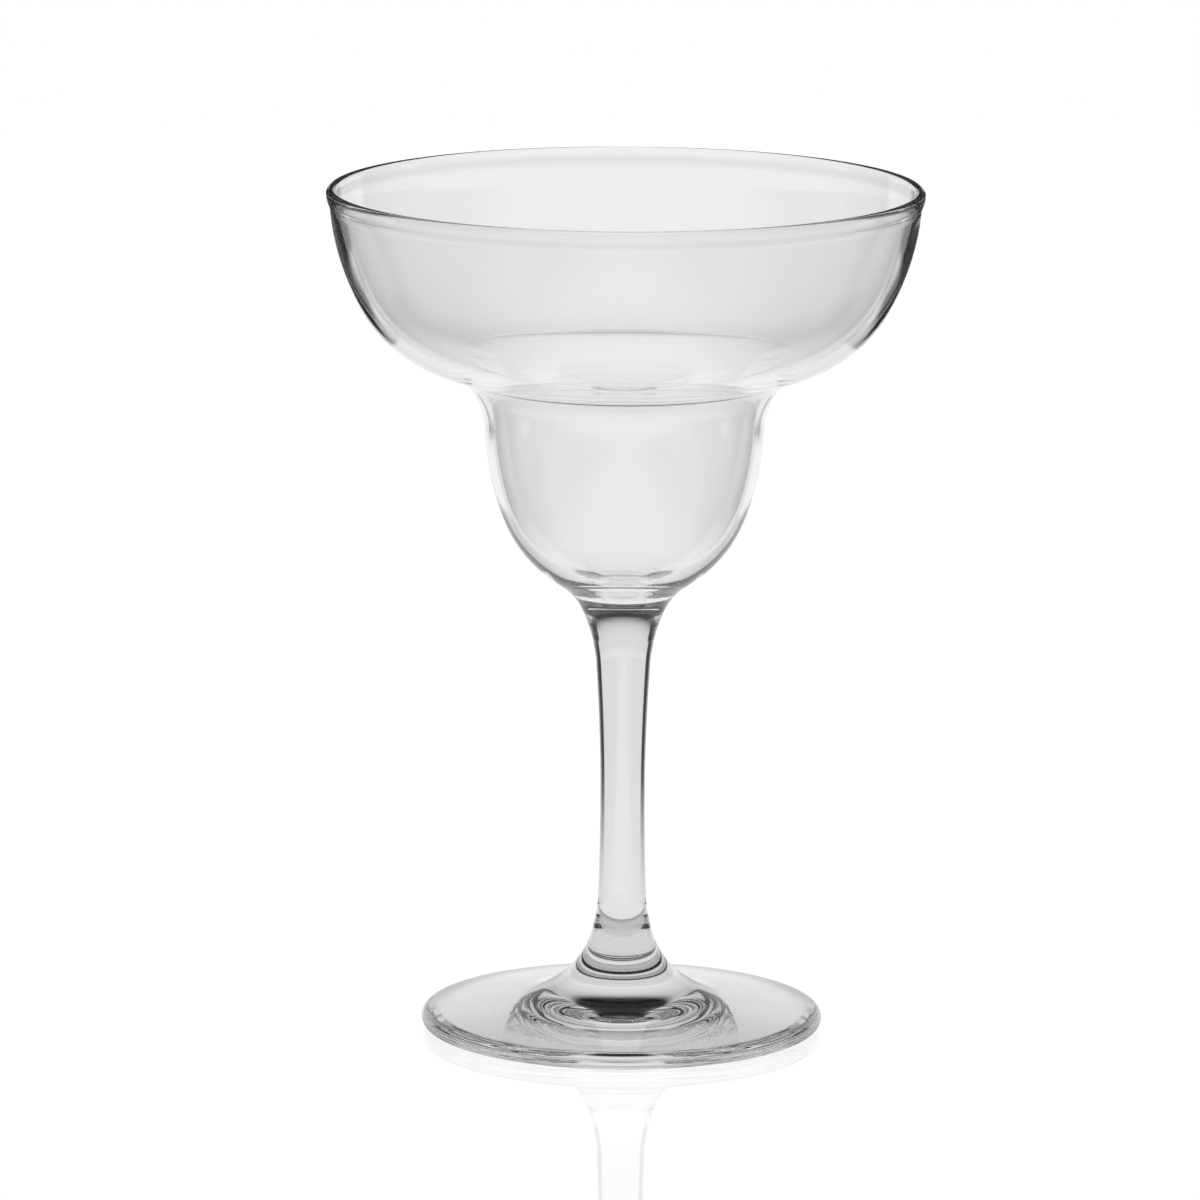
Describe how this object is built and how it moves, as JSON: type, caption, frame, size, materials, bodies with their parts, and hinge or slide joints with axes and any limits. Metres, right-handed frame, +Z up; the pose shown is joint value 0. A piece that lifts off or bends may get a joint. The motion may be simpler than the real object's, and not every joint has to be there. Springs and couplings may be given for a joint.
{
  "type": "margarita glass",
  "caption": "Clear stemmed cocktail glass with a wide saucer bowl stepped down into a narrow cup, on a slim waisted stem and a round flat foot.",
  "frame": {"origin": "on the table at the middle of the foot, under the axis of the glass", "axes": "+Z up along the axis of the glass, +X to the right and +Y away from the viewer of the picture"},
  "size_m": [0.1188, 0.1188, 0.17],
  "materials": {
    "clear_glass": "clear, fire-polished soda-lime glass with a very faint neutral tint"
  },
  "bodies": {
    "root": {"bowl": "clear_glass", "stem": "clear_glass", "foot": "clear_glass"}
  },
  "joints": []
}
